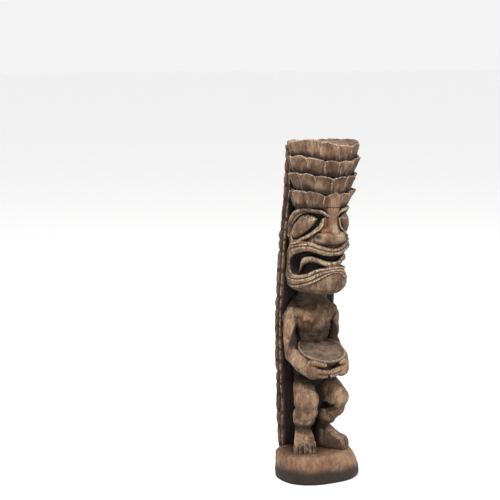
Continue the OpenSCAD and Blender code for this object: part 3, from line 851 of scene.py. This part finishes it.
def leg(side):
    """The leg of one side, with the knee bent forward over a waist and a full calf."""
    right = side < 0
    waist_at, waist = ((31, -14, -46), 22.5) if right else ((33, -13, -44), 25)
    calf_at, calf = ((31, -3, -66), 24) if right else ((25, 1, -66), 20)
    ankle_x = 27.5 if right else 21.0

    def sculpt(c):
        c.add(limb(side, [(27, 12, 8), (31, 0, -5), (36, -20, -24)], [18, 21.5, 24.5]))
        c.add(limb(side, [(36, -20, -26), waist_at, calf_at], [24.5, waist, calf]), 3)
        c.add(limb(side, [calf_at, (ankle_x + 1, 2, -78), (ankle_x - 2, 6, -96)], [calf, 18, 16]), 3)
        # The hollow of the bent knee, open to the inside and the back
        c.cut(limb(side, [(0, 10, -44), (18, 0, -45), (37, -10, -46)], [15, 12, 5]), 2)
        if not right:
            c.cut(limb(side, [(3, -14, -42), (12, -26, -41), (21, -37, -40)], [11, 8, 2.5]), 2)
        c.cut(limb(side, [(62, 14, -46), (44, 26, -46), (20, 26, -46)], [6, 9, 9]), 3)
        c.gouge(3.4, (19, 19, 25), 51 + side, 0.35, (4, 4, 14), 53)
        c.keep(ANKLE - c.z)
        c.keep(c.z - (HIP + 24), 8)
        c.keep(c.y - BOARD_FACE + 0.5)

    def stain_and_shade(x, y, z):
        # Painted shade on the inner side, in the fold behind the knee, round the ankle, on the back and
        # near the hip
        inner = smoothstep(24, 8, side * x) * (0.6 if right else 0.45)
        inward = side * x - 0.6 * y - (0 if right else 11)
        fold = bell(z, HIP - 45, 4 + 7 * smoothstep(44, 24, inward)) * smoothstep(44, 30, inward)
        cuff_shade = 0.8 * smoothstep(ANKLE + 12, ANKLE + 2, z)
        back = smoothstep(8, 26, y)
        hip = 0.8 * smoothstep(HIP - 4, HIP + 12, z)
        return np.clip(np.maximum(inner, 0.95 * fold) + back + cuff_shade + hip, 0, 0.92)

    return sculpt, stain_and_shade


# Place of the heel, degrees of turn about z, length and half width of each foot,
# and half width and length of the slits between its toes
FEET = {-1: ((-26.0, 11.0), -22, 45, 23.5, 0.7, 13), 1: ((23.0, 11.0), 41, 52, 20.5, 1.1, 18)}


def foot(side):
    """A blocky foot, turned outwards, with five toes carved into its front edge."""
    (heel_x, heel_y), turn, length, wide, slit_half, slit_length = FEET[side]
    turn = math.radians(turn)

    def along(x, y):
        """Distance across the foot from its middle line, and ahead of the heel."""
        dx, dy = x - heel_x, y - heel_y
        return dx * math.cos(turn) + dy * math.sin(turn), dx * math.sin(turn) - dy * math.cos(turn)

    def half_width(ahead):
        return 16 + (wide - 16) * smoothstep(-6, 0.7 * length, ahead)

    def sculpt(c):
        across, ahead = along(c.x, c.y)
        height = c.z - PLINTH_TOP
        reach = length + 1 - 0.004 * across ** 2
        top = 47 - 23 * smoothstep(0, 0.8 * length, ahead)
        top = top - 12 * smoothstep(0.75 * length, length + 6, ahead)
        side_wall = np.abs(across) - half_width(ahead) + 0.05 * height
        block = np.maximum.reduce([side_wall, -ahead - 17, ahead - reach + 0.12 * height])
        c.d = (-soft_min(-block, -(height - top) * 0.9, 3.5)).astype(np.float32)
        ankle = np.maximum(np.hypot(across, ahead + 2) - 16.5, height - 60).astype(np.float32)
        c.d = soft_min(c.d, ankle, 5)
        for k in (-1.5, -0.5, 0.5, 1.5):
            slit = np.abs(across - k * 0.4 * wide - 0.8 * noise(c.x, c.y, c.z, 9, 64)) - slit_half
            slit = np.maximum(slit, length - slit_length - ahead + 0.15 * height)
            c.remove(np.maximum(slit, -3.2 - c.d).astype(np.float32), 1.6)
        toes = smoothstep(length - 18, length - 8, ahead)
        c.gouge(1.0, (12, 12, 14), 61 + side, 0.3, (4, 4, 8), 63)
        c.d += 0.5 * toes * noise(c.x, c.y, c.z, (2.5, 2.5, 6), 65)
        c.keep(np.maximum(PLINTH_TOP - 1 - c.z, c.z - ANKLE))

    def stain_and_shade(x, y, z):
        # Painted shade on the inner side wall, round the ankle and behind the heel; the toes are darker
        # towards their tips
        across, ahead = along(x, y)
        height = z - PLINTH_TOP
        toes = 0.85 * smoothstep(length - 14, length - 4, ahead + 0.4 * (12 - height))
        toes = toes * (0.65 + 0.5 * noise(x, y, z, (3, 3, 9), 66))
        half = half_width(ahead)
        inner = 0.62 * smoothstep(half - 6, half - 1.5, -side * across)
        ankle = 0.85 * smoothstep(36, 48, height)
        return np.clip(np.maximum(toes, inner) + ankle + 0.8 * smoothstep(2, -14, ahead), 0, 0.92)

    return sculpt, stain_and_shade


# ---------------- plinth

# Heights above the foot of the plinth and its width there, as a share of the CAD plinth's
PLINTH_PROFILE = np.array([(0, 0.96), (4, 0.99), (9, 1.0), (22, 0.985), (33, 0.965), (42, 0.94),
                           (49, 0.905), (54, 0.86), (58, 0.78), (80, 0.5)])


def plinth(c):
    height = c.z - PLINTH_FOOT
    lift = 4.0 * smoothstep(10, -70, c.x) * smoothstep(-20, 40, c.y)
    share = np.interp(height - lift, PLINTH_PROFILE[:, 0], PLINTH_PROFILE[:, 1])
    share = share - 0.05 * smoothstep(-10, 70, c.x) * smoothstep(20, 52, height)
    share = share - 0.035 * smoothstep(-20, -75, c.x)
    # The shoulder is left full under the corners of the back board
    corner = smoothstep(28, 44, np.abs(c.x)) * smoothstep(22, 40, c.y)
    fade = smoothstep(BOARD_FOOT + 7, BOARD_FOOT + 1, c.z)
    share = share + np.maximum(0.955 - share, 0) * corner * fade
    k = oval(c.x / PLINTH_HALF[0], c.y / PLINTH_HALF[1], 2.4)
    wall = (k - share) * 62
    top = height - (PLINTH_TOP - PLINTH_FOOT) - lift
    c.d = -soft_min(-wall, -top, 4).astype(np.float32)
    c.gouge(1.1, (20, 20, 26), 71, 0.35, (4, 4, 16), 72)
    c.keep(PLINTH_FOOT - c.z, 1)
    mortise_side = np.abs(c.x) - board_half(BOARD_FOOT) + 1.5
    mortise = np.maximum.reduce([mortise_side, BOARD_FACE - c.y, BOARD_FOOT - c.z])
    c.remove(mortise.astype(np.float32))


def plinth_shade(x, y, z):
    # Painted shade on the top towards the back
    back = smoothstep(-50, -5, y + 12 * noise(x, y, z, 25, 73))
    return 0.5 * smoothstep(PLINTH_TOP - 8, PLINTH_TOP, z) * back


# ---------------- carving all pieces

carve("head", head, FINE, head_shade)
for level in TIERS:
    sculpt, stain_and_shade = tier(level)
    carve(f"headdress_tier_{level}", sculpt, MEDIUM, stain_and_shade)
carve("back_board", board, COARSE, board_shade)
carve("torso", torso, MEDIUM, torso_shade)
carve("bowl", bowl, MEDIUM, bowl_stain_and_shade)
carve("plinth", plinth, COARSE, plinth_shade)
for side, word in ((-1, "right"), (1, "left")):
    for part, maker, step in (("arm", arm, FINE), ("leg", leg, MEDIUM), ("foot", foot, FINE)):
        sculpt, stain_and_shade = maker(side)
        carve(f"{part}_{word}", sculpt, step, stain_and_shade)


# ---------------- shade of the hollows

# Cells in mm, lowest corner and shape of a coarse grid round the whole figure
CELL = 4.0
GRID_LOW = np.array([-150.0, -150.0, -60.0])
GRID_SHAPE = (75, 75, 215)


def box_blur(grid, radius):
    """The grid averaged over a box of cells, twice along each axis."""
    size = 2 * radius + 1
    for axis in range(3):
        for _ in range(2):
            pad = [(0, 0)] * 3
            pad[axis] = (radius + 1, radius)
            total = np.cumsum(np.pad(grid, pad), axis)
            low = np.arange(grid.shape[axis])
            grid = (np.take(total, size + low, axis) - np.take(total, low, axis)) / size
    return grid


def fullness():
    """How much of each coarse cell round the figure is wood, blurred to two sizes."""
    grid = np.zeros(GRID_SHAPE)
    for piece in CARVED:
        at = np.round((piece["inside"] - GRID_LOW) / CELL).astype(int)
        weight = (2 * piece["step"] / CELL) ** 3
        flat = np.ravel_multi_index(at.T, GRID_SHAPE)
        grid += np.bincount(flat, minlength=grid.size).reshape(GRID_SHAPE) * weight
    grid = np.clip(grid, 0, 1)
    return box_blur(grid, 2), box_blur(grid, 5)


def sample(grid, points):
    """The grid's values at points, blended between cells."""
    at = (points - GRID_LOW) / CELL
    base = np.clip(np.floor(at).astype(int), 0, np.array(grid.shape) - 2)
    t = np.clip(at - base, 0, 1).T
    total = 0
    for corner in CORNERS:
        u, v, w = (a if b else 1 - a for a, b in zip(t, corner))
        i, j, k = (base + corner).T
        total = total + u * v * w * grid[i, j, k]
    return total


FULL_NEAR, FULL_WIDE = fullness()


def finish_piece(piece, material, slot):
    """Makes the Blender object of a carved piece, with the wear of its edges, the stain and painted
    shade of its hollows, and its map of stain and painted shade.
    """
    points, quads, links, step = (piece[k] for k in ("points", "quads", "links", "step"))
    normals = point_normals(points, quads)
    # The surface smoothed over about 2 mm and 6 mm, whatever the grid step
    near = spread(points, links, max(2, round((2.2 / step) ** 2)))
    wide = spread(near, links, round((6.0 / step) ** 2))
    # Neither pale wear nor the stain and painted shade of hollows along the joint between forehead and
    # headdress
    joined = piece["name"] in ("head", "headdress_tier_4")
    wear_and_shade = smoothstep(0.5, 4, np.abs(points[:, 2] - CROWN)) if joined else 1.0
    fine_bulge = ((points - near) * normals).sum(1) * wear_and_shade
    wide_bulge = ((points - wide) * normals).sum(1) * wear_and_shade
    # How much wood stands around, looked at 9 mm and 16 mm off the surface, for painted shade
    shade = 0.5 * sample(FULL_NEAR, points + 9 * normals)
    shade = shade + 0.5 * sample(FULL_WIDE, points + 16 * normals)
    mesh = bpy.data.meshes.new(piece["name"] + "_carved")
    mesh.vertices.add(len(points))
    mesh.vertices.foreach_set("co", (points * MM).astype(np.float32).ravel())
    mesh.loops.add(quads.size)
    mesh.loops.foreach_set("vertex_index", quads.astype(np.int32).ravel())
    mesh.polygons.add(len(quads))
    mesh.polygons.foreach_set("loop_start", np.arange(0, quads.size, 4, dtype=np.int32))
    mesh.polygons.foreach_set("use_smooth", np.ones(len(quads), bool))
    mesh.update(calc_edges=True)
    mesh.validate()
    stain_and_shade = piece["stain_and_shade"](*points.T)
    up = spread(normals[:, 2:], links, 2)[:, 0]
    layers = {"fine": fine_bulge, "wide": wide_bulge, "shade": shade, "stain_and_shade": stain_and_shade, "up": up}
    for name, values in layers.items():
        layer = mesh.attributes.new(name, "FLOAT", "POINT")
        layer.data.foreach_set("value", values.astype(np.float32))
    piece_object = placed(piece["name"] + "_carved", mesh)
    mesh.materials.append(material)
    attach(piece_object, "root")
    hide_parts(piece["name"])


# ---------------- materials

def srgb(r, g, b):
    """Linear colour from 0 to 255 display values."""
    def channel(v):
        v = v / 255
        return v / 12.92 if v <= 0.04045 else ((v + 0.055) / 1.055) ** 2.4
    return (channel(r), channel(g), channel(b), 1)


class Nodes:
    """Short names for building a material's node tree."""

    def __init__(self, name):
        self.material = bpy.data.materials.new(name)
        self.material.use_nodes = True
        self.tree = self.material.node_tree
        self.shader = self.tree.nodes["Principled BSDF"]

    def set(self, socket, value):
        if isinstance(value, bpy.types.NodeSocket):
            self.tree.links.new(value, socket)
        else:
            socket.default_value = value

    def node(self, kind, output, settings, inputs):
        """An output of a new node with these settings and inputs."""
        made = self.tree.nodes.new("ShaderNode" + kind)
        for key, value in settings.items():
            setattr(made, key, value)
        for key, value in inputs.items():
            self.set(made.inputs[key], value)
        return made.outputs[output]

    def attribute(self, name):
        return self.node("Attribute", "Fac", {"attribute_name": name}, {})

    def place(self):
        return self.node("TexCoord", "Object", {}, {})

    def noise(self, scale, detail, rough=0.6):
        """Noise with about so many features to the metre along x, y and z."""
        place = self.node("Mapping", "Vector", {}, {"Vector": self.place(), "Scale": scale})
        return self.node("TexNoise", "Fac", {}, {"Vector": place, "Scale": 1.0, "Detail": detail,
                                                 "Roughness": rough})

    def ramp(self, value, low, high):
        """0 at low and 1 at high, with a smooth step between."""
        return self.node("MapRange", "Result", {"interpolation_type": "SMOOTHSTEP"},
                         {"Value": value, "From Min": low, "From Max": high})

    def math(self, kind, a, b):
        return self.node("Math", 0, {"operation": kind}, {0: a, 1: b})

    def times(self, a, b):
        return self.math("MULTIPLY", a, b)

    def mix(self, factor, a, b):
        return self.node("Mix", "Result", {"data_type": "RGBA"}, {"Factor": factor, "A": a, "B": b})

    def glaze(self, colour, where, strength, tint):
        """The colour with a tint laid over it, at a strength, where a value is 1."""
        return self.mix(self.times(where, strength), colour, srgb(*tint))

    def bump(self, height, strength, distance):
        return self.node("Bump", "Normal", {}, {"Height": height, "Strength": strength,
                                                "Distance": distance})

    def finish(self, inputs):
        """The material, once its shader has these inputs."""
        for key, value in inputs.items():
            self.set(self.shader.inputs[key], value)
        return self.material


def carved_wood(name, base, red, pale, dark, highlight=0.6, brush_and_top_light=0.3, mottle=1.0, band=None):
    """Weathered, stained and dry-brushed wood, with painted light on faces turned up and painted shade
    in its hollows and underneath, dark up to the height of its band if it has one.
    """
    n = Nodes(name)
    patches, smoke = n.noise((22, 22, 13), 5, 0.65), n.noise((34, 34, 24), 5, 0.7)
    warm, rust = n.noise((75, 75, 34), 5, 0.7), n.noise((260, 260, 14), 3)
    fibres, streaks = n.noise((420, 420, 18), 5, 0.65), n.noise((120, 120, 9), 4, 0.65)
    specks = n.noise((300, 300, 200), 6, 0.75)
    fine, wide, shade, up = (n.attribute(key) for key in ("fine", "wide", "shade", "up"))
    colour = n.mix(n.ramp(patches, 0.40, 0.60), srgb(*base), srgb(*pale))
    for value, low, high, strength, tint in (
        (warm, 0.50, 0.66, 0.62 * mottle, red), (smoke, 0.48, 0.64, 0.60 * mottle, dark),
        (streaks, 0.50, 0.64, 0.50 * mottle, dark), (fibres, 0.48, 0.62, 0.38, dark),
        (rust, 0.56, 0.66, 0.40 * mottle, red),
    ):
        colour = n.glaze(colour, n.ramp(value, low, high), strength, tint)
    # Pale dry-brushed specks on faces turned up, also painted light from above; painted shade on faces
    # turned down
    brushed_and_lit = n.times(n.ramp(up, 0.0, 0.6), n.ramp(wide, -0.1, 0.9))
    brushed_and_lit = n.times(brushed_and_lit, n.ramp(specks, 0.46, 0.60))
    colour = n.glaze(colour, brushed_and_lit, brush_and_top_light, (190, 177, 160))
    # Painted shade on faces turned down
    colour = n.glaze(colour, n.ramp(up, -0.15, -0.80), 0.55, (44, 30, 23))
    # Stain lies in the hollows, red-brown in shallow ones; deep ones are near black from stain and
    # painted shade
    shallow = n.math("MAXIMUM", n.ramp(fine, -0.02, -0.13), n.ramp(wide, -0.04, -0.50))
    hollow = n.math("MAXIMUM", n.ramp(fine, -0.10, -0.26), n.ramp(wide, -0.38, -1.05))
    colour = n.glaze(colour, shallow, 0.60, (92, 48, 28))
    # Raised edges are brushed pale
    edge = n.math("MAXIMUM", n.ramp(fine, 0.05, 0.20), n.ramp(wide, 0.60, 1.6))
    edge = n.times(edge, n.ramp(specks, 0.42, 0.60))
    colour = n.glaze(colour, edge, highlight, (192, 176, 154))
    # Deep hollows near black: stain with painted shade
    colour = n.glaze(colour, hollow, 0.82, (26, 16, 12))
    # Painted shade, near black, where much wood stands round the surface
    colour = n.glaze(colour, n.ramp(shade, 0.17, 0.52), 0.90, (17, 11, 9))
    # Each piece's own map of stain and painted shade, laid on towards near black
    colour = n.mix(n.attribute("stain_and_shade"), colour, srgb(17, 11, 9))
    if band:
        height = n.node("SeparateXYZ", "Z", {}, {"Vector": n.place()})
        height = n.math("ADD", height, n.times(n.noise((18, 18, 4), 2), 0.016))
        colour = n.glaze(colour, n.ramp(height, band + 0.014, band - 0.004), 0.94, (36, 29, 26))
    grain = n.math("ADD", fibres, n.times(specks, 0.8))
    return n.finish({"Base Color": colour, "Roughness": n.math("ADD", n.times(specks, 0.3), 0.50),
                     "Specular IOR Level": 0.2, "Normal": n.bump(grain, 0.7, 0.0016)})


def plain_wood(name):
    n = Nodes(name)
    rings = n.ramp(n.noise((300, 300, 22), 4), 0.35, 0.65)
    return n.finish({"Base Color": n.mix(rings, srgb(178, 140, 96), srgb(206, 172, 126)),
                     "Roughness": 0.6})


def steel(name):
    n = Nodes(name)
    scratches = n.noise((900, 60, 900), 3)
    return n.finish({"Base Color": n.mix(scratches, srgb(150, 150, 148), srgb(196, 196, 192)),
                     "Metallic": 1.0, "Roughness": n.ramp(scratches, -0.6, 1.6)})


def felt(name):
    n = Nodes(name)
    fuzz = n.noise((900, 900, 900), 6, 0.8)
    return n.finish({"Base Color": n.mix(fuzz, srgb(28, 28, 27), srgb(58, 57, 54)),
                     "Roughness": 0.95, "Normal": n.bump(fuzz, 0.6, 0.0006)})


HEAD_WOOD = carved_wood("carved_wood", (100, 75, 58), (132, 76, 46), (146, 122, 98), (38, 27, 22),
                        highlight=0.8, brush_and_top_light=1.0)
# The back board's copy of the carved wood, darker throughout as painted shade behind the figure
BOARD_WOOD_SHADED = carved_wood("carved_wood_board_shaded", (84, 62, 50), (138, 76, 46), (116, 98, 82),
                         (28, 20, 17), highlight=0.45, brush_and_top_light=0.2, mottle=0.9)
PALE_WOOD = carved_wood("pale_wood", (106, 80, 62), (140, 86, 56), (146, 121, 97), (46, 32, 26),
                        highlight=0.45)
TORSO_WOOD = carved_wood("dark_wood", (92, 68, 53), (120, 74, 48), (132, 106, 83), (34, 24, 20))
BOWL_WOOD = carved_wood("pale_wood_bowl", (98, 79, 67), (126, 84, 60), (130, 112, 97),
                        (44, 34, 30), highlight=0.9, mottle=0.6)
PLINTH_WOOD = carved_wood("plinth_wood", (108, 80, 62), (158, 92, 56), (138, 111, 88),
                          (50, 36, 29), brush_and_top_light=0.1, mottle=0.65, band=0.031)
# Material and slot by the first word of a piece's name; arms, legs and feet are pale
LOOKS = {
    "head": (HEAD_WOOD, "carved_wood"), "headdress": (HEAD_WOOD, "carved_wood"),
    "back": (BOARD_WOOD_SHADED, "carved_wood"), "torso": (TORSO_WOOD, "dark_wood"),
    "bowl": (BOWL_WOOD, "pale_wood"), "plinth": (PLINTH_WOOD, "plinth_wood"),
}
for piece in CARVED:
    material, slot = LOOKS.get(piece["name"].split("_")[0], (PALE_WOOD, "pale_wood"))
    finish_piece(piece, material, slot)

# Pegs, screws and felt keep their CAD meshes
PEGS = ("crown_peg", "neck_peg", "bowl_peg", "shoulder_pegs", "hip_pegs", "ankle_pegs")
CAD_LOOKS = ((PEGS, plain_wood("peg_wood")), (("foot_screws", "board_screws"), steel("screw_steel")),
             (("felt_base",), felt("felt")))
for nodes, material in CAD_LOOKS:
    for node in nodes:
        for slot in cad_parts[node].material_slots:
            slot.material = material


# ---------------- camera, light and floor

def add_camera():
    """A long lens at the height of the face, on the figure's right, looking slightly down."""
    azimuth, distance, height = math.radians(-30), 2.734, 0.878
    pan, tilt = math.radians(2.92), math.radians(8.32)
    data = bpy.data.cameras.new("camera")
    data.sensor_width = 36
    data.lens = 96.5
    camera = placed("camera", data)
    camera.location = (math.sin(azimuth) * distance, -math.cos(azimuth) * distance, height)
    heading = -azimuth - pan
    level = math.cos(tilt)
    forward = Vector((math.sin(heading) * level, math.cos(heading) * level, -math.sin(tilt)))
    camera.rotation_euler = forward.to_track_quat("-Z", "Y").to_euler()
    bpy.context.scene.camera = camera


def add_light(name, place, aim, size, power, colour=(1, 1, 1)):
    data = bpy.data.lights.new(name, "AREA")
    data.size, data.energy, data.color = size, power, colour
    light = placed(name, data)
    light.location = place
    light.rotation_euler = (Vector(aim) - Vector(place)).to_track_quat("-Z", "Y").to_euler()


def add_floor():
    """A pale floor wide enough that its far edge is lost against the background."""
    mesh = bpy.data.meshes.new("floor")
    half = 60
    corners = [(-half, -half, 0), (half, -half, 0), (half, half, 0), (-half, half, 0)]
    mesh.from_pydata(corners, [], [(0, 1, 2, 3)])
    floor = placed("floor", mesh)
    paint = {"Base Color": (0.97, 0.97, 0.97, 1), "Roughness": 0.9}
    mesh.materials.append(Nodes("pale_floor").finish(paint))


add_camera()
add_floor()
add_light("key", (-1.1, -1.9, 3.4), (0, 0, 0.4), 0.8, 135, (1.0, 0.98, 0.95))
add_light("fill", (2.4, -1.6, 1.6), (0, 0, 0.35), 1.8, 8)
add_light("back", (0.8, 2.4, 2.2), (0, 0, 0.4), 1.6, 10)
world = bpy.data.worlds.new("studio")
bpy.context.scene.world = world
world.use_nodes = True
sky = world.node_tree.nodes["Background"].inputs
sky["Color"].default_value = (1, 1, 1, 1)
sky["Strength"].default_value = 0.9
bpy.context.scene.view_settings.view_transform = "Standard"
